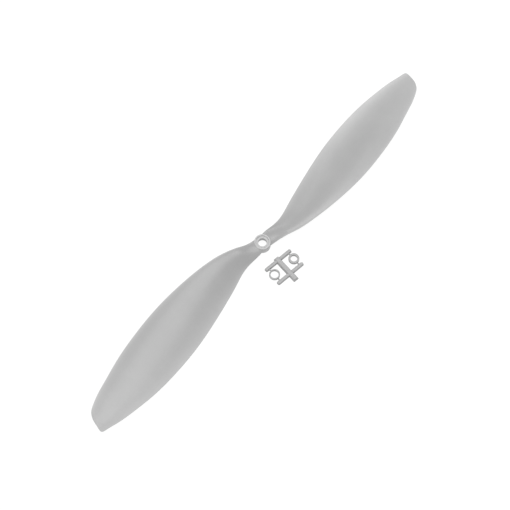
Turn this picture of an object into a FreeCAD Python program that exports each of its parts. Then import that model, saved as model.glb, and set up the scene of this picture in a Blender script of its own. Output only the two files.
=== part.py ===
import FreeCAD, Part

import math
import os
from collections import namedtuple

# A two-blade, reverse-rotation slow-flyer propeller, with the small moulded
# tree that carries its two shaft adapter rings lying beside the hub.
#
# Millimetres and degrees. The origin is on the shaft axis, at the hub's rear
# face. +Z points to the front of the propeller and +X runs out along blade_a.

# ---------------------------------------------------------------- propeller
DIAMETER = 355.6               # 14 inches
PITCH = 119.4                  # 4.7 inches of advance in one turn
FULL_ANGLE = 24.0              # the steepest blade angle, near the root
ANGLE_BLEND = 6.0              # how sharply the pitch angle meets FULL_ANGLE
UNTWIST_START = 3.0            # the root flattens inside this radius ...
UNTWIST_END = 18.0             # ... and has its full angle from this one

# A station of the blade. lead and trail are how far the leading and trailing
# edges stand from the blade's axis, seen from the front. height is the axis's
# height over the rear face, and thick is the section's greatest thickness.
Station = namedtuple("Station", "radius lead trail height thick")
STATIONS = [
    Station(0, 5.4, 4.4, 5.2, 3.8),
    Station(8, 7.3, 4.6, 5.1, 3.8),
    Station(16, 10.6, 3.7, 4.4, 3.8),
    Station(24, 14.1, 3.7, 3.8, 3.6),
    Station(36, 17.6, 6.3, 3.9, 3.2),
    Station(48, 19.9, 9.0, 4.2, 3.0),
    Station(66, 22.2, 12.5, 4.7, 2.8),
    Station(88, 23.3, 15.8, 5.2, 2.6),
    Station(112, 22.0, 17.1, 5.7, 2.3),
    Station(134, 18.9, 16.3, 6.1, 1.9),
    Station(152, 14.7, 13.7, 6.6, 1.6),
    Station(166, 10.5, 10.7, 6.9, 1.3),
    Station(180, 5.2, 6.3, 7.2, 1.1),
]
ROOT_CAMBER = 0.01             # height of the arched mid-line over the chord
BLADE_CAMBER = 0.07
AIRFOIL_FROM = 36.0            # inside this radius the section turns oval
EDGE_THICKNESS = 0.5           # trailing edge
SURFACE_POINTS = 9             # points that shape one face of a section

# The tip's edge: how far each point falls short of the tip corner's radius, and
# how far aft of the blade's axis it stands.
TIP_EDGE = [(-0.4, 11), (0.5, 5.5), (2.2, -1), (3.8, -4.6), (6.6, -7.9), (13, -13)]

# ---------------------------------------------------------------------- hub
HUB_DIAMETER = 12.0
HUB_HEIGHT = 7.5
HUB_EDGE_ROUND = 0.4
BORE_DIAMETER = 6.35           # for a quarter-inch shaft
FRONT_RECESS_DIAMETER = 9.8
FRONT_RECESS_DEPTH = 1.2
RING_SEAT_DIAMETER = 8.0       # takes an adapter ring, from the rear
RING_SEAT_DEPTH = 2.6

# ----------------------------------------------------------- adapter rings
RING_DIAMETER = 7.9
RING_HEIGHT = 2.4
RING_BORES = {"ring_5mm": 5.0, "ring_6mm": 6.0}

# ---------------------------------------------------------- the rings' tree
TREE_CENTRE = (-2.65, -23.0)   # midway between the two rings
TREE_TURN = -8.4               # about Z
RING_SPACING = 18.6            # centre to centre, across the runner
ARM_SPACING = 13.3             # between the two pairs of arms
ARM_REACH = 12.3               # from the runner's middle to an arm's end
ARM_FOOT_WIDTH = 3.0
ARM_TOP_WIDTH = 2.2
ARM_HEIGHT = 2.1
RUNNER_NEAR_END = 9.3          # towards the hub
RUNNER_FAR_END = 13.4
RUNNER_FOOT_WIDTH = 4.4
RUNNER_TOP_WIDTH = 3.1
RUNNER_HEIGHT = 2.6
GATE_WIDTH = 1.1
GATE_HEIGHT = 1.0
GATE_FLOOR = 0.3               # height of the gate's underside
GATE_GAP = 0.05                # the snapped neck between a gate and its ring

BLOCK_REACH = 50.0             # of the blocks that trim a blade, past its every side
Z_AXIS = FreeCAD.Vector(0, 0, 1)


def smooth_step(value, start, end):
    """0 up to start, 1 from end, and a smooth rise between them."""
    part = min(1.0, max(0.0, (value - start) / (end - start)))
    return part * part * (3 - 2 * part)


def blade_angle(radius):
    """The helix angle of PITCH, levelled off at FULL_ANGLE, flat at the hub."""
    helix = math.degrees(math.atan2(PITCH, 2 * math.pi * radius))
    blend = helix ** -ANGLE_BLEND + FULL_ANGLE ** -ANGLE_BLEND
    return blend ** (-1 / ANGLE_BLEND) * smooth_step(radius, UNTWIST_START, UNTWIST_END)


def half_thickness(part, thick, airfoil):
    """Half the section's thickness at part of the chord (0 at the leading edge).

    airfoil runs from 0, an oval, to 1, a section with a thin trailing edge.
    """
    oval = math.sqrt(part * (1 - part))
    fin = 5 * (0.2969 * math.sqrt(part) - 0.1260 * part - 0.3516 * part ** 2
               + 0.2843 * part ** 3 - 0.1036 * part ** 4)
    return thick * (oval + airfoil * (fin - oval)) + EDGE_THICKNESS / 2 * part


def blade_section(station):
    """The closed outline of a section, in the plane x = station.radius."""
    angle = math.radians(blade_angle(station.radius))
    airfoil = smooth_step(station.radius, 0, AIRFOIL_FROM)
    camber = ROOT_CAMBER + airfoil * (BLADE_CAMBER - ROOT_CAMBER)
    chord = (station.lead + station.trail) / math.cos(angle)
    front = []
    rear = []
    for i in range(SURFACE_POINTS):
        part = (1 - math.cos(math.pi * i / (SURFACE_POINTS - 1))) / 2
        arch = 4 * camber * chord * part * (1 - part)
        half = half_thickness(part, station.thick, airfoil)
        for face, lift in ((front, arch + half), (rear, arch - half)):
            y = -station.lead + part * chord * math.cos(angle) + lift * math.sin(angle)
            z = (station.height + station.lead * math.tan(angle)
                 - part * chord * math.sin(angle) + lift * math.cos(angle))
            face.append(FreeCAD.Vector(station.radius, y, z))
    outline = Part.BSplineCurve()
    outline.interpolate(rear[:0:-1] + front)
    edge = Part.makeLine(front[-1], rear[-1])
    return Part.Wire([outline.toShape(), edge])


def tip_block():
    """A tall block whose outer end is the tip's edge, to trim the blade with."""
    curve = Part.BSplineCurve()
    curve.interpolate([FreeCAD.Vector(DIAMETER / 2 - short, aft, 0) for short, aft in TIP_EDGE])
    aft_end = curve.value(curve.FirstParameter)
    fore_end = curve.value(curve.LastParameter)
    corners = [fore_end, FreeCAD.Vector(fore_end.x, -BLOCK_REACH, 0), FreeCAD.Vector(0, -BLOCK_REACH, 0),
               FreeCAD.Vector(0, BLOCK_REACH, 0), FreeCAD.Vector(aft_end.x, BLOCK_REACH, 0), aft_end]
    outline = Part.Wire([curve.toShape()] + Part.makePolygon(corners).Edges)
    return Part.Face(outline).extrude(FreeCAD.Vector(0, 0, BLOCK_REACH))


def make_blades():
    """blade_a along +X, and blade_b, the same blade half a turn on."""
    loft = Part.makeLoft([blade_section(station) for station in STATIONS], True, False)
    hub_room = Part.makeCylinder(HUB_DIAMETER / 2, BLOCK_REACH)
    blade_a = loft.common(tip_block()).cut(hub_room)
    blade_b = blade_a.copy()
    blade_b.rotate(FreeCAD.Vector(0, 0, 0), Z_AXIS, 180)
    return {"blade_a": blade_a, "blade_b": blade_b}


def make_hub():
    """A short barrel, bored through, with a shallow front recess and a rear ring seat."""
    barrel = Part.makeCylinder(HUB_DIAMETER / 2, HUB_HEIGHT)
    front_edge = [edge for edge in barrel.Edges if edge.BoundBox.ZMin > HUB_HEIGHT / 2]
    barrel = barrel.makeFillet(HUB_EDGE_ROUND, front_edge)
    bore = Part.makeCylinder(BORE_DIAMETER / 2, HUB_HEIGHT)
    recess = Part.makeCylinder(FRONT_RECESS_DIAMETER / 2, FRONT_RECESS_DEPTH,
                               FreeCAD.Vector(0, 0, HUB_HEIGHT - FRONT_RECESS_DEPTH))
    seat = Part.makeCylinder(RING_SEAT_DIAMETER / 2, RING_SEAT_DEPTH)
    return {"hub": barrel.cut(bore).cut(recess).cut(seat)}


def tapered_bar(length, foot_width, top_width, height):
    """A bar along +X from the origin, wide at its foot and narrower on top."""
    rise = FreeCAD.Vector(0, 0, height)
    draft = (foot_width - top_width) / 2
    foot = [(0, -foot_width / 2), (length, -foot_width / 2),
            (length, foot_width / 2), (0, foot_width / 2)]
    top = [(0, -top_width / 2), (length - draft, -top_width / 2),
           (length - draft, top_width / 2), (0, top_width / 2)]
    loops = []
    for corners, lift in ((foot, FreeCAD.Vector()), (top, rise)):
        points = [FreeCAD.Vector(x, y, 0) + lift for x, y in corners]
        loops.append(Part.makePolygon(points + points[:1]))
    return Part.makeLoft(loops, True, True)


def make_runner():
    """The tree's stem, from two bars back to back."""
    bars = []
    for length, turn in ((RUNNER_NEAR_END, 90), (RUNNER_FAR_END, -90)):
        bar = tapered_bar(length, RUNNER_FOOT_WIDTH, RUNNER_TOP_WIDTH, RUNNER_HEIGHT)
        bar.rotate(FreeCAD.Vector(0, 0, 0), Z_AXIS, turn)
        bars.append(bar)
    return bars[0].fuse(bars[1]).removeSplitter()


def make_arm(side, end, runner):
    """One arm of a pair, cut to meet the runner's sloping flank."""
    arm = tapered_bar(ARM_REACH, ARM_FOOT_WIDTH, ARM_TOP_WIDTH, ARM_HEIGHT)
    if side < 0:
        arm.rotate(FreeCAD.Vector(0, 0, 0), Z_AXIS, 180)
    arm.translate(FreeCAD.Vector(0, end * ARM_SPACING / 2, 0))
    return arm.cut(runner)


def make_gate(side, end, arm):
    """The thin neck from an arm towards its ring, snapped just short of it."""
    ring_x = side * RING_SPACING / 2
    near_y = min(0, end * ARM_SPACING / 2)
    gate = Part.makeBox(GATE_WIDTH, ARM_SPACING / 2, GATE_HEIGHT,
                        FreeCAD.Vector(ring_x - GATE_WIDTH / 2, near_y, GATE_FLOOR))
    room = Part.makeCylinder(RING_DIAMETER / 2 + GATE_GAP, RING_HEIGHT, FreeCAD.Vector(ring_x, 0, 0))
    return gate.cut(arm).cut(room)


def make_ring(side, bore):
    centre = FreeCAD.Vector(side * RING_SPACING / 2, 0, 0)
    ring = Part.makeCylinder(RING_DIAMETER / 2, RING_HEIGHT, centre)
    return ring.cut(Part.makeCylinder(bore / 2, RING_HEIGHT, centre))


def make_tree():
    """The runner, its four arms and gates, and the two rings that hang between them."""
    pieces = {"tree_runner": make_runner()}
    for side, ring in ((1, "ring_5mm"), (-1, "ring_6mm")):
        pieces[ring] = make_ring(side, RING_BORES[ring])
        for end, place in ((1, "near"), (-1, "far")):
            arm = make_arm(side, end, pieces["tree_runner"])
            size = ring.replace("ring_", "")
            pieces["tree_arm_" + place + "_" + size] = arm
            pieces["tree_gate_" + place + "_" + size] = make_gate(side, end, arm)
    for piece in pieces.values():
        piece.rotate(FreeCAD.Vector(0, 0, 0), Z_AXIS, TREE_TURN)
        piece.translate(FreeCAD.Vector(*TREE_CENTRE, 0))
    return pieces


def main():
    nodes = {**make_hub(), **make_blades(), **make_tree()}
    os.makedirs("parts", exist_ok=True)
    for name, shape in nodes.items():
        solid = shape.Solids[0] if len(shape.Solids) == 1 else shape
        solid.exportStep("parts/" + name + ".step")
        box = solid.optimalBoundingBox()
        print("%-20s %d solid, %9.2f mm3, valid %s, x %.2f..%.2f y %.2f..%.2f z %.2f..%.2f" % (
            name, len(solid.Solids), solid.Volume, solid.isValid(),
            box.XMin, box.XMax, box.YMin, box.YMax, box.ZMin, box.ZMax))


main()
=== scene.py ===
"""A two-blade slow-flyer propeller in satin grey nylon, with the little tree that
carries its two shaft adapter rings lying beside the hub.

Shapes are worked out in millimetres, in the part's own frame: the shaft is the Z
axis, the hub's rear face is at Z = 0 and blade_a runs out along +X. Each mesh is
scaled to metres as it is made.
"""
import math

import bmesh
import bpy
import numpy as np
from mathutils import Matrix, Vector

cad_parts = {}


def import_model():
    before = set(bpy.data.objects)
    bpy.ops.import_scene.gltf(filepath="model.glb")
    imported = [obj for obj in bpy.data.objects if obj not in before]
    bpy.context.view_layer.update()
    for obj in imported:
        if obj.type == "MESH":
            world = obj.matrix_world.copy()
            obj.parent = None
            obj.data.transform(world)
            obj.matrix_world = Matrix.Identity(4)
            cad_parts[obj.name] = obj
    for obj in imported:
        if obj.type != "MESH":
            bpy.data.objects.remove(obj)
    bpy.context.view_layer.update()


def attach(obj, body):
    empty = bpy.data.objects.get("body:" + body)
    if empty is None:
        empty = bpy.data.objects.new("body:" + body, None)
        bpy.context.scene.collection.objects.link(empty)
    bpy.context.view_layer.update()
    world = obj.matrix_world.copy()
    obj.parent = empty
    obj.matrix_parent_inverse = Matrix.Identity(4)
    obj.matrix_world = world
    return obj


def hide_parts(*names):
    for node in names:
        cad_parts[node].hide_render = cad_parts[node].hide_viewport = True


MM = 0.001

# ---------------------------------------------------------------- the blades
PITCH = 119.4
FULL_ANGLE = math.radians(24.0)     # the steepest blade angle
ANGLE_BLEND = 6.0                   # how sharply the pitch angle meets it
UNTWIST = (3.0, 18.0)               # radii between which the flat root takes up its angle
ROOT_CAMBER = 0.01
BLADE_CAMBER = 0.07
AIRFOIL_FROM = 36.0                 # inside this radius the section turns oval
TRAILING_THICKNESS = 0.5
EDGE_SNAP = 0.01                    # the part of the chord that counts as the leading edge

# Radius; how far the leading and trailing edges stand from the blade's axis; the
# axis's height over the hub's rear face; thickness.
STATIONS = np.array([
    (0, 5.4, 4.4, 5.2, 3.8),
    (8, 7.3, 4.6, 5.1, 3.8),
    (16, 10.6, 3.7, 4.4, 3.8),
    (24, 14.1, 3.7, 3.8, 3.6),
    (36, 17.6, 6.3, 3.9, 3.2),
    (48, 19.9, 9.0, 4.2, 3.0),
    (66, 22.2, 12.5, 4.7, 2.8),
    (88, 23.3, 15.8, 5.2, 2.6),
    (112, 22.0, 17.1, 5.7, 2.3),
    (134, 18.9, 16.3, 6.1, 1.9),
    (152, 14.7, 13.7, 6.6, 1.6),
    (166, 10.5, 10.7, 6.9, 1.3),
    (180, 5.2, 6.3, 7.2, 1.1),
])
# The tip seen from the front, from the leading edge round the tip's corner to the
# trailing edge: radius, and how far aft of the blade's axis.
TIP_EDGE = [(160, -12.7), (166, -10.6), (171.2, -8.0), (174.0, -4.8), (175.6, -1.1), (176.7, 3),
            (177.3, 5.6), (177.1, 6.9), (176.1, 7.7), (173.5, 8.5)]
APEX = 7                            # the point of TIP_EDGE where the tip's corner is

TIP_FROM = 148.0                    # outside this radius the mesh's rows fan round to the apex
ROOT_UNTIL = 24.0                   # inside this radius they bend round the hub
ROOT_SINK = 0.3                     # how far the root's mesh runs into the hub's wall
ROOT_FILLET = 1.1
TIP_NOSE = 1.5                      # length of the tip's rounded edge, over half its thickness
NOSE_LENGTH = 0.15                  # the least length of edge that gets the nose's fine columns
NOSE_CROWDING = 0.9                 # the most of a row's length that its two noses may take
FRONT_FILLET_SHARE = 0.15           # the front's fillet at the hub, beside the rear's

CURVE_SAMPLES = 6000
ROOT_REACH = 0.12                   # the root lies within this part of the outline's half
ROOT_EASE = 1.5                     # how much closer together the root's first rows are
FAN_END = 0.93                      # the last row stops short of the apex, which is 1
ROOT_ROWS = 40
SPAN_ROWS = 76
TIP_ROWS = 54
NOSE_COLUMNS = 6
FACE_COLUMNS = 24

# ------------------------------------------------------------------- the hub
HUB_RADIUS = 6.0
HUB_HEIGHT = 7.5
BORE_RADIUS = 3.175
RECESS_RADIUS = 4.9
RECESS_FLOOR = 6.3
SEAT_RADIUS = 4.0
SEAT_DEPTH = 2.6
HUB_PAINTED_GLOW_WALL = 0.6                 # the hub's colour gets the painted glow of nylon this thick, painted light as if shining through it
LATHE_SEGMENTS = 160
SHARP_EDGE = math.radians(50)       # edges that turn more than this are shaded as creases

# --------------------------------------------------- the rings and their tree
RING_RADIUS = 3.95
RING_HEIGHT = 2.4
RING_BORES = {"5mm": 2.5, "6mm": 3.0}
TREE_CENTRE = (-2.65, -23.0)        # midway between the two rings
TREE_TURN = math.radians(-8.4)
RING_PLACE = 9.3                    # from the runner's middle
ARM_PLACE = 6.65                    # each side of the line through the rings
ARM_ENDS = (0.15, 12.3)
ARM_FOOT_WIDTH = 3.0
ARM_TOP_WIDTH = 2.2
ARM_HEIGHT = 2.1
ARM_FOOT = 0.02                     # an arm's underside, just clear of the runner's
ARM_CORNER = 1.1
ARM_CROWN = 0.35
RUNNER_ENDS = (-13.4, 9.3)          # the far end, and the one by the hub
RUNNER_FOOT_WIDTH = 4.4
RUNNER_TOP_WIDTH = 3.1
RUNNER_HEIGHT = 2.6
RUNNER_CORNER = 0.5
RUNNER_CROWN = 0.4
GATE_WIDTH = 1.1
GATE_NECK_WIDTH = 0.7
GATE_FLOOR = 0.3
GATE_HEIGHT = 1.0
GATE_GAP = 0.06                     # between a gate's neck and its ring
GATE_SINK = 0.4                     # how far a gate runs into its arm
GATE_NECKING = 0.3                  # the part of the gate's way where it starts to thin
GATE_DROP = 0.25                    # how much lower its neck is, of its height
GATE_FOOT_ROUNDING = 0.15
GATE_TOP_ROUNDING = 0.25
GATE_ROWS = 9
BAR_ROUNDEST = 0.96                 # the most of a bar's half width that its corners may take
ROUNDING_STEPS = 7

# ------------------------------------------------------------------- looks
PAINTED_GLOW_DEPTH = 1.2                    # painted glow: the paler colour painted on thin nylon, standing for light through it, fades over this thickness
PAINTED_GLOW_GAIN = 0.8                     # how much paler the painted glow makes the thinnest nylon's colour
GLOSS_SPREAD = 0.02                 # how much the roughness varies each way
GRAIN_DEPTH = 0.00004               # the moulded grain's relief, in metres
GRAIN_STRENGTH = 0.35
CLOUD_STRETCH = 45
SPECK_STRETCH = 1700
DARK_TINT = 0.96                    # how much of the mottle reaches the blue of the darker grey
PALE_TINT = 0.97                    # and of the paler grey
FLOOR_GREY = 0.1
FLOOR_GLOW = 0.93
FLOOR_ROUGHNESS = 0.8

# -------------------------------------------------------- lights and camera
LIGHT_DISTANCE = 1.3                # in metres
WORLD_STRENGTH = 0.7
LENS = 83.7                         # the camera's, with a sensor 36 mm wide
CAMERA_TARGET = (-9.17, -0.78, 0)
CAMERA_WAY = (-0.27223, -0.23306, 0.93358)  # from the target towards the camera
CAMERA_DISTANCE = 861.09            # in millimetres, like CAMERA_TARGET


# ---------------------------------------------------------------- geometry
def smooth_step(value, start, end):
    """0 up to start, 1 from end, and a smooth rise between them."""
    part = np.clip((value - start) / (end - start), 0, 1)
    return part * part * (3 - 2 * part)


def spline(knots, values):
    """The natural cubic spline through values at the knots, as a function."""
    knots = np.array(knots, float)
    values = np.array(values, float)
    gaps = np.diff(knots)
    slopes = np.diff(values) / gaps
    matrix = np.eye(len(knots))
    right = np.zeros(len(knots))
    for i in range(1, len(knots) - 1):
        matrix[i, i - 1:i + 2] = gaps[i - 1], 2 * (gaps[i - 1] + gaps[i]), gaps[i]
        right[i] = 6 * (slopes[i] - slopes[i - 1])
    bends = np.linalg.solve(matrix, right)

    def at(place):
        i = np.clip(np.searchsorted(knots, place) - 1, 0, len(knots) - 2)
        past = place - knots[i]
        rate = slopes[i] - gaps[i] * (2 * bends[i] + bends[i + 1]) / 6
        cubic = (bends[i + 1] - bends[i]) / (6 * gaps[i])
        return values[i] + past * (rate + past * (bends[i] / 2 + past * cubic))

    return at


LEAD, TRAIL, HEIGHT, THICK = (spline(STATIONS[:, 0], STATIONS[:, i]) for i in range(1, 5))


def blade_angle(radius):
    """The helix angle of PITCH, levelled off at FULL_ANGLE, flat at the hub."""
    helix = np.arctan2(PITCH, 2 * math.pi * radius)
    blend = helix ** -ANGLE_BLEND + FULL_ANGLE ** -ANGLE_BLEND
    return blend ** (-1 / ANGLE_BLEND) * smooth_step(radius, *UNTWIST)


def half_thickness(part, x):
    """Half the blade's thickness at part of the chord, at radius x: an oval that turns airfoil."""
    oval = np.sqrt(part * (1 - part))
    fin = 5 * (0.2969 * np.sqrt(part) - 0.1260 * part - 0.3516 * part ** 2
               + 0.2843 * part ** 3 - 0.1036 * part ** 4)
    airfoil = smooth_step(x, 0, AIRFOIL_FROM)
    return THICK(x) * (oval + airfoil * (fin - oval)) + TRAILING_THICKNESS / 2 * part


def outline():
    """The blade seen from the front, from the leading edge's root round to the trailing edge's.

    Returns the curve, as a function of the way along it, and the ways to its apex and its end.
    """
    inner = STATIONS[STATIONS[:, 0] < TIP_EDGE[0][0]]
    trailing = STATIONS[STATIONS[:, 0] < TIP_EDGE[-1][0]][::-1]
    leading_edge = [(station[0], -station[1]) for station in inner]
    trailing_edge = [(station[0], station[2]) for station in trailing]
    points = np.array(leading_edge + TIP_EDGE + trailing_edge)
    ways = np.concatenate([[0], np.cumsum(np.hypot(*np.diff(points, axis=0).T))])
    along, across = spline(ways, points[:, 0]), spline(ways, points[:, 1])
    return lambda way: np.stack([along(way), across(way)], -1), ways[len(inner) + APEX], ways[-1]


def crossing(curve, start, end, measure, value):
    """The way along the curve, between start and end, where measure of its point is value."""
    ways = np.linspace(start, end, CURVE_SAMPLES)
    return np.interp(value, measure(curve(ways)), ways)


def radius_of(points):
    return points[:, 0]


def from_shaft(points):
    return np.hypot(points[:, 0], points[:, 1])


def row_ends():
    """The leading and the trailing end of each row of the blade's mesh, and how much it bends."""
    curve, apex, end = outline()
    root_rise = np.linspace(0, 1, ROOT_ROWS) ** ROOT_EASE
    span = np.linspace(ROOT_UNTIL, TIP_FROM, SPAN_ROWS + 1)[1:]
    fan = np.sin(np.linspace(0, FAN_END, TIP_ROWS + 1)[1:] * math.pi / 2)
    sides = []
    for start in (0, end):
        near_hub = start + (apex - start) * ROOT_REACH
        root = crossing(curve, start, near_hub, from_shaft, HUB_RADIUS - ROOT_SINK)
        inner, outer = crossing(curve, start, apex, radius_of, np.array([ROOT_UNTIL, TIP_FROM]))
        ways = np.concatenate([root + root_rise * (inner - root),
                               crossing(curve, start, apex, radius_of, span),
                               outer + fan * (apex - outer)])
        sides.append(curve(ways))
    bends = np.concatenate([1 - smooth_step(root_rise, 0, 1), np.zeros(SPAN_ROWS + TIP_ROWS)])
    return sides[0], sides[1], bends


def columns(length, noses):
    """Distances across a row, close together round each of its edges."""
    curl = 1 - np.cos(np.linspace(0, math.pi / 2, NOSE_COLUMNS))
    near = max(noses[0], NOSE_LENGTH) * curl
    far = length - max(noses[1], NOSE_LENGTH) * curl[::-1]
    ease = (1 - np.cos(np.linspace(0, math.pi, FACE_COLUMNS + 2)[1:-1])) / 2
    return np.concatenate([near, near[-1] + ease * (far[0] - near[-1]), far])


def nose(distance, length):
    """How full the blade is at a distance from an edge whose rounding has this length."""
    if length <= 0:
        return 1.0
    return np.sqrt(1 - (1 - np.clip(distance / length, 0, 1)) ** 2)


def chord_part(point):
    """Where a point of the plan lies across the chord, 0 at the leading edge."""
    part = (point[1] + LEAD(point[0])) / (LEAD(point[0]) + TRAIL(point[0]))
    return 0.0 if part < EDGE_SNAP else min(part, 1.0)


def blade_row(lead, trail, bend, root_arc):
    """One closed row of the blade, across its front face and back across its rear.

    Returns its points, and how thick the blade is at each.
    """
    length = math.hypot(*(trail - lead))
    parts = [chord_part(lead), chord_part(trail)]
    noses = [TIP_NOSE * half_thickness(part, end[0]) for part, end in zip(parts, (lead, trail))]
    crowding = NOSE_CROWDING * length / sum(max(n, NOSE_LENGTH) for n in noses)
    noses = [n * min(1.0, crowding) for n in noses]
    distance = columns(length, noses)
    across = distance / length
    plan = lead + across[:, None] * (trail - lead) + bend * root_arc(across)
    x, y = plan[:, 0], plan[:, 1]
    part = parts[0] + across * (parts[1] - parts[0])
    half = half_thickness(part, x) * nose(distance, noses[0]) * nose(length - distance, noses[1])
    angle = blade_angle(x)
    camber = ROOT_CAMBER + smooth_step(x, 0, AIRFOIL_FROM) * (BLADE_CAMBER - ROOT_CAMBER)
    arch = 4 * camber * (LEAD(x) + TRAIL(x)) / np.cos(angle) * part * (1 - part)
    gap = np.clip(np.hypot(x, y) - HUB_RADIUS, 0, ROOT_FILLET)
    fillet = ROOT_FILLET - np.sqrt(ROOT_FILLET ** 2 - (ROOT_FILLET - gap) ** 2)
    fillet = fillet * nose(distance, 1) * nose(length - distance, 1)
    faces = []
    for side, share in ((1, FRONT_FILLET_SHARE), (-1, 1.0)):
        lift = arch + side * half
        z = HEIGHT(x) - y * np.tan(angle) + lift * np.cos(angle) + side * share * fillet
        faces.append(np.stack([x, y + lift * np.sin(angle), z], -1))
    thick = 2 * half_thickness(part, x)
    return np.concatenate([faces[0], faces[1][-2:0:-1]]), np.concatenate([thick, thick[-2:0:-1]])


def blade_rows():
    """The rows of points of the blade along +X, and its thickness at each point."""
    leads, trails, bends = row_ends()
    first, last = (math.atan2(ends[0][1], ends[0][0]) for ends in (leads, trails))

    def root_arc(across):
        """How far the hub's round wall stands out from the straight line between its ends."""
        turn = first + across * (last - first)
        wall = (HUB_RADIUS - ROOT_SINK) * np.stack([np.cos(turn), np.sin(turn)], -1)
        return wall - leads[0] - across[:, None] * (trails[0] - leads[0])

    rows = [blade_row(*row, root_arc) for row in zip(leads, trails, bends)]
    return np.array([row[0] for row in rows]), np.array([row[1] for row in rows])


def round_corners(corners):
    """A closed outline through corners of (across, up, rounding)."""
    points = []
    for i, corner in enumerate(corners):
        here = np.array(corner[:2], float)
        before = np.array(corners[i - 1][:2]) - here
        after = np.array(corners[(i + 1) % len(corners)][:2]) - here
        before = before / np.linalg.norm(before)
        after = after / np.linalg.norm(after)
        half = math.acos(before @ after) / 2
        middle = before + after
        centre = here + middle / np.linalg.norm(middle) * corner[2] / math.sin(half)
        start = here + before * corner[2] / math.tan(half) - centre
        end = here + after * corner[2] / math.tan(half) - centre
        sweep = math.pi - 2 * half
        for ahead in np.linspace(0, sweep, ROUNDING_STEPS):
            spoke = start * math.sin(sweep - ahead) + end * math.sin(ahead)
            points.append(centre + spoke / math.sin(sweep))
    return np.array(points)


def turned(corners, centre=(0, 0)):
    """Rows of points of a turned ring, from the corners of its profile."""
    profile = round_corners(corners)
    rows = []
    for i in range(LATHE_SEGMENTS):
        cos = math.cos(2 * math.pi * i / LATHE_SEGMENTS)
        sin = math.sin(2 * math.pi * i / LATHE_SEGMENTS)
        rows.append([(centre[0] + radius * cos, centre[1] + radius * sin, z)
                     for radius, z in profile])
    return np.array(rows)


def drafted_bar(ends, foot_width, top_width, height, corner, crown, foot=0.0):
    """Rows of points of a bar along X with sloping sides and round ends.

    corner rounds the ends in plan, crown softens the top edge and foot is the underside's height.
    """
    draft = (foot_width - top_width) / 2
    turns = np.linspace(0, math.pi / 2, ROUNDING_STEPS)
    heights = [foot, (height - crown) / 3] + list(height - crown + crown * np.sin(turns))
    crowns = [0, 0] + list(crown * (1 - np.cos(turns)))
    rows = []
    for z, inward in zip(heights, crowns):
        inset = draft * z / height + inward
        half = foot_width / 2 - inset
        start = ends[0] + inset
        end = ends[1] - inset
        rounding = min(corner, half * BAR_ROUNDEST)
        loop = round_corners([(start, -half, rounding), (end, -half, rounding),
                              (end, half, rounding), (start, half, rounding)])
        rows.append([(x, y, z) for x, y in loop])
    return np.array(rows)


def gate_rows():
    """A gate's rows of points along -Y, from inside its arm to the snapped neck by the ring."""
    start = ARM_PLACE - ARM_FOOT_WIDTH / 2 + GATE_SINK
    end = RING_RADIUS + GATE_GAP
    rows = []
    for part in np.linspace(0, 1, GATE_ROWS):
        thinning = smooth_step(part, GATE_NECKING, 1)
        half = (GATE_WIDTH + (GATE_NECK_WIDTH - GATE_WIDTH) * thinning) / 2
        top = GATE_FLOOR + GATE_HEIGHT * (1 - GATE_DROP * thinning)
        loop = round_corners([(-half, GATE_FLOOR, GATE_FOOT_ROUNDING),
                              (half, GATE_FLOOR, GATE_FOOT_ROUNDING),
                              (half, top, GATE_TOP_ROUNDING), (-half, top, GATE_TOP_ROUNDING)])
        rows.append([(x, start + part * (end - start), z) for x, z in loop])
    return np.array(rows)


def turn_about(points, turn, centre=(0, 0)):
    """The points turned about Z through the origin, and then moved to centre."""
    cos, sin = math.cos(turn), math.sin(turn)
    x, y = points[..., 0], points[..., 1]
    turned_x = centre[0] + x * cos - y * sin
    turned_y = centre[1] + x * sin + y * cos
    return np.stack([turned_x, turned_y, points[..., 2]], -1)


# ------------------------------------------------------------------ pieces
def cap(start, count):
    """Faces that close a loop of an even count of points, in strips from side to side across it."""
    end = start + count
    half = count // 2
    faces = [(start, start + 1, end - 1)]
    for j in range(1, half - 1):
        faces.append((start + j, start + j + 1, end - j - 1, end - j))
    faces.append((start + half - 1, start + half, start + half + 1))
    return faces


def skin(name, rows, closed):
    """A mesh over rows of points, with the last joined to the first if closed, else both capped."""
    count = rows.shape[1]
    faces = []
    for i in range(len(rows) if closed else len(rows) - 1):
        here, there = i * count, (i + 1) % len(rows) * count
        for j in range(count):
            k = (j + 1) % count
            faces.append((here + j, here + k, there + k, there + j))
    if not closed:
        faces += cap(0, count) + cap((len(rows) - 1) * count, count)
    mesh = bpy.data.meshes.new(name)
    mesh.from_pydata((rows.reshape(-1, 3) * MM).tolist(), [], faces)
    work = bmesh.new()
    work.from_mesh(mesh)
    bmesh.ops.recalc_face_normals(work, faces=work.faces)
    work.to_mesh(mesh)
    work.free()
    mesh.shade_smooth()
    mesh.set_sharp_from_angle(angle=SHARP_EDGE)
    piece = bpy.data.objects.new(name, mesh)
    bpy.context.scene.collection.objects.link(piece)
    return piece


def add_piece(node, body, material, rows, closed=False, thick=None):
    """A finished piece that stands for a CAD node and moves with its body.

    thick, where it is given, is the nylon's thickness at each point, for the painted glow: thin
    nylon's colour is painted paler, as if light shone through it.
    """
    piece = skin(node + "_moulding", rows, closed)
    if thick is not None:
        # painted light: thin nylon's colour is made paler, standing for light shining through it
        glow = piece.data.attributes.new("painted_thin_glow", "FLOAT", "POINT")
        glow.data.foreach_set("value", np.exp(-thick.ravel() / PAINTED_GLOW_DEPTH))
    piece.data.materials.append(material)
    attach(piece, body)
    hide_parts(node)


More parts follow.
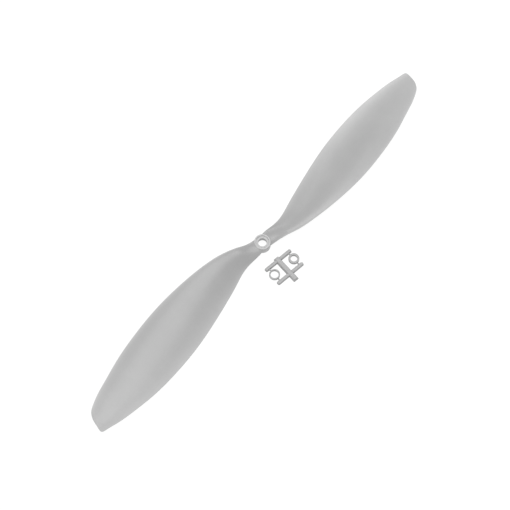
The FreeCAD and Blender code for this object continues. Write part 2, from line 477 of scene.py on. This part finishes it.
def add_propeller(material):
    """The hub and its two blades. The profile's corners give radius, height and rounding."""
    profile = [(HUB_RADIUS, 0, 0.25), (HUB_RADIUS, HUB_HEIGHT, 0.4),
               (RECESS_RADIUS, HUB_HEIGHT, 0.18), (RECESS_RADIUS, RECESS_FLOOR, 0.2),
               (BORE_RADIUS, RECESS_FLOOR, 0.2), (BORE_RADIUS, SEAT_DEPTH, 0.12),
               (SEAT_RADIUS, SEAT_DEPTH, 0.12), (SEAT_RADIUS, 0, 0.2)]
    rows = turned(profile)
    # painted light: the whole hub is painted paler, as if lit through like thin nylon
    thick = np.full(rows.shape[:2], HUB_PAINTED_GLOW_WALL)
    add_piece("hub", "propeller", material, rows, closed=True, thick=thick)
    rows, thick = blade_rows()
    for node, turn in (("blade_a", 0), ("blade_b", math.pi)):
        blade = turn_about(rows, turn)
        add_piece(node, "propeller", material, blade, thick=thick)


def add_tree(material):
    """The runner, its four arms and the four snapped gates."""
    bar = drafted_bar(RUNNER_ENDS, RUNNER_FOOT_WIDTH, RUNNER_TOP_WIDTH, RUNNER_HEIGHT,
                      RUNNER_CORNER, RUNNER_CROWN)
    runner = turn_about(turn_about(bar, math.pi / 2), TREE_TURN, TREE_CENTRE)
    add_piece("tree_runner", "ring_tree", material, runner)
    bar = drafted_bar(ARM_ENDS, ARM_FOOT_WIDTH, ARM_TOP_WIDTH, ARM_HEIGHT,
                      ARM_CORNER, ARM_CROWN, ARM_FOOT)
    for side, size in ((1, "5mm"), (-1, "6mm")):
        for end, place in ((1, "near"), (-1, "far")):
            arm = turn_about(bar * np.array([side, 1, 1]), 0, (0, end * ARM_PLACE))
            gate = turn_about(gate_rows() * np.array([1, end, 1]), 0, (side * RING_PLACE, 0))
            for kind, rows in (("tree_arm_", arm), ("tree_gate_", gate)):
                rows = turn_about(rows, TREE_TURN, TREE_CENTRE)
                add_piece(kind + place + "_" + size, "ring_tree", material, rows)


def add_rings(material):
    """The two adapter rings. The profile's corners give radius, height and rounding."""
    for side, size in ((1, "5mm"), (-1, "6mm")):
        middle = turn_about(np.array([side * RING_PLACE, 0, 0]), TREE_TURN, TREE_CENTRE)
        profile = [(RING_RADIUS, 0, 0.12), (RING_RADIUS, RING_HEIGHT, 0.22),
                   (RING_BORES[size], RING_HEIGHT, 0.15), (RING_BORES[size], 0, 0.12)]
        add_piece("ring_" + size, "adapter_ring_" + size, material,
                  turned(profile, middle[:2]), closed=True)


# --------------------------------------------------------------- materials
class Nodes:
    """A material's node tree, with short calls to add a node and to join two."""

    def __init__(self, name):
        self.material = bpy.data.materials.new(name)
        self.material.use_nodes = True
        self.tree = self.material.node_tree
        self.shader = self.tree.nodes["Principled BSDF"]

    def add(self, kind, values, **settings):
        node = self.tree.nodes.new(kind)
        for setting, value in settings.items():
            setattr(node, setting, value)
        for socket, value in values.items():
            node.inputs[socket].default_value = value
        return node

    def join(self, source, target):
        self.tree.links.new(source, target)

    def noise(self, place, stretch, detail, roughness=0.6):
        """Noise whose cells are about 1 / stretch metres long each way."""
        mapping = self.add("ShaderNodeMapping", {"Scale": stretch})
        settings = {"Scale": 1.0, "Detail": detail, "Roughness": roughness}
        texture = self.add("ShaderNodeTexNoise", settings)
        self.join(place, mapping.inputs["Vector"])
        self.join(mapping.outputs["Vector"], texture.inputs["Vector"])
        return texture.outputs["Fac"]

    def ranged(self, source, low, high):
        """A noise, which mostly keeps between 0.3 and 0.7, spread over low to high."""
        limits = {"From Min": 0.3, "From Max": 0.7, "To Min": low, "To Max": high}
        node = self.add("ShaderNodeMapRange", limits)
        self.join(source, node.inputs["Value"])
        return node.outputs["Result"]

    def sum(self, first, second):
        node = self.add("ShaderNodeMath", {}, operation="ADD")
        self.join(first, node.inputs[0])
        self.join(second, node.inputs[1])
        return node.outputs["Value"]


def nylon(name, grey, mottle, gloss, fibre):
    """Satin glass-filled nylon: a grey that clouds a little, with fine fibres, a moulded grain and
    a painted glow that pales thin parts, standing for light shining through them.

    fibre is the stretch of the streaks that the fibres leave along the way the nylon flowed.
    """
    nodes = Nodes(name)
    place = nodes.add("ShaderNodeTexCoord", {}).outputs["Object"]
    clouds = nodes.noise(place, (CLOUD_STRETCH, CLOUD_STRETCH, CLOUD_STRETCH), detail=4.0)
    streaks = nodes.noise(place, fibre, detail=5.0, roughness=0.7)
    specks = nodes.noise(place, (SPECK_STRETCH, SPECK_STRETCH, SPECK_STRETCH), detail=2.0)
    tone = nodes.sum(nodes.ranged(clouds, 0, 0.5), nodes.ranged(streaks, 0, 0.2))
    tone = nodes.sum(tone, nodes.ranged(specks, 0, 0.3))
    ramp = nodes.add("ShaderNodeValToRGB", {})
    ramp.color_ramp.elements[0].color = (grey - mottle, grey - mottle, grey - DARK_TINT * mottle, 1)
    ramp.color_ramp.elements[1].color = (grey + mottle, grey + mottle, grey + PALE_TINT * mottle, 1)
    nodes.join(tone, ramp.inputs["Fac"])
    # painted light: where the nylon is thin its colour is painted paler, as if light shone through
    thin = nodes.add("ShaderNodeAttribute", {}, attribute_name="painted_thin_glow")
    gain = nodes.add("ShaderNodeMath", {1: PAINTED_GLOW_GAIN, 2: 1.0}, operation="MULTIPLY_ADD")
    nodes.join(thin.outputs["Fac"], gain.inputs[0])
    paler = nodes.add("ShaderNodeVectorMath", {}, operation="SCALE")
    nodes.join(ramp.outputs["Color"], paler.inputs[0])
    nodes.join(gain.outputs["Value"], paler.inputs["Scale"])
    nodes.join(paler.outputs["Vector"], nodes.shader.inputs["Base Color"])
    roughness = nodes.ranged(streaks, gloss - GLOSS_SPREAD, gloss + GLOSS_SPREAD)
    nodes.join(roughness, nodes.shader.inputs["Roughness"])
    relief = nodes.sum(nodes.ranged(specks, 0, 0.8), nodes.ranged(streaks, 0, 0.2))
    bump = nodes.add("ShaderNodeBump", {"Strength": GRAIN_STRENGTH, "Distance": GRAIN_DEPTH})
    nodes.join(relief, bump.inputs["Height"])
    nodes.join(bump.outputs["Normal"], nodes.shader.inputs["Normal"])
    return nodes.material


def floor_white():
    """A pale sweep, so brightly lit that it shows no shadow."""
    nodes = Nodes("pale_floor")
    nodes.shader.inputs["Base Color"].default_value = (FLOOR_GREY, FLOOR_GREY, FLOOR_GREY, 1)
    nodes.shader.inputs["Roughness"].default_value = FLOOR_ROUGHNESS
    nodes.shader.inputs["Emission Color"].default_value = (1, 1, 1, 1)
    nodes.shader.inputs["Emission Strength"].default_value = FLOOR_GLOW
    return nodes.material


# ------------------------------------------------------------------- stage
def add_floor(half_side=4.0):
    mesh = bpy.data.meshes.new("floor")
    corners = [(-half_side, -half_side, 0), (half_side, -half_side, 0),
               (half_side, half_side, 0), (-half_side, half_side, 0)]
    mesh.from_pydata(corners, [], [(0, 1, 2, 3)])
    mesh.materials.append(floor_white())
    floor = bpy.data.objects.new("floor", mesh)
    bpy.context.scene.collection.objects.link(floor)
    floor.visible_diffuse = False
    floor.visible_glossy = False


def aim(thing, target):
    thing.rotation_euler = (Vector(target) - thing.location).to_track_quat("-Z", "Y").to_euler()


def add_light(name, azimuth, elevation, size, watts):
    """A square soft box that looks at the hub, azimuth round from +X, in degrees and metres."""
    light = bpy.data.lights.new(name, "AREA")
    light.shape = "SQUARE"
    light.size = size
    light.energy = watts
    lamp = bpy.data.objects.new(name, light)
    turn, rise = math.radians(azimuth), math.radians(elevation)
    way = Vector((math.cos(turn) * math.cos(rise), math.sin(turn) * math.cos(rise), math.sin(rise)))
    lamp.location = LIGHT_DISTANCE * way
    aim(lamp, (0, 0, 0))
    bpy.context.scene.collection.objects.link(lamp)


def add_lights():
    add_light("overhead_box", azimuth=-8, elevation=80, size=0.85, watts=6.5)
    add_light("back_box", azimuth=58, elevation=20, size=0.45, watts=1.4)
    add_light("left_box", azimuth=172, elevation=16, size=0.5, watts=3.1)


def add_world(strength):
    world = bpy.data.worlds.new("studio")
    world.use_nodes = True
    background = world.node_tree.nodes["Background"]
    background.inputs["Color"].default_value = (1, 1, 1, 1)
    background.inputs["Strength"].default_value = strength
    bpy.context.scene.world = world


def add_camera():
    """Looks down on the hub from 69 degrees up."""
    data = bpy.data.cameras.new("camera")
    data.lens = LENS
    data.sensor_width = 36.0
    data.clip_end = 20.0
    camera = bpy.data.objects.new("camera", data)
    target = Vector(CAMERA_TARGET) * MM
    camera.location = target + Vector(CAMERA_WAY) * CAMERA_DISTANCE * MM
    aim(camera, target)
    bpy.context.scene.collection.objects.link(camera)
    bpy.context.scene.camera = camera


def main():
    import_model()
    add_propeller(nylon("propeller_nylon", grey=0.35, mottle=0.02, gloss=0.3, fibre=(60, 900, 900)))
    add_tree(nylon("tree_nylon", grey=0.39, mottle=0.02, gloss=0.32, fibre=(500, 500, 500)))
    add_rings(nylon("ring_nylon", grey=0.38, mottle=0.02, gloss=0.32, fibre=(600, 600, 200)))
    add_floor()
    add_lights()
    add_world(WORLD_STRENGTH)
    add_camera()
    bpy.context.scene.view_settings.view_transform = "Standard"
    bpy.context.view_layer.update()


main()
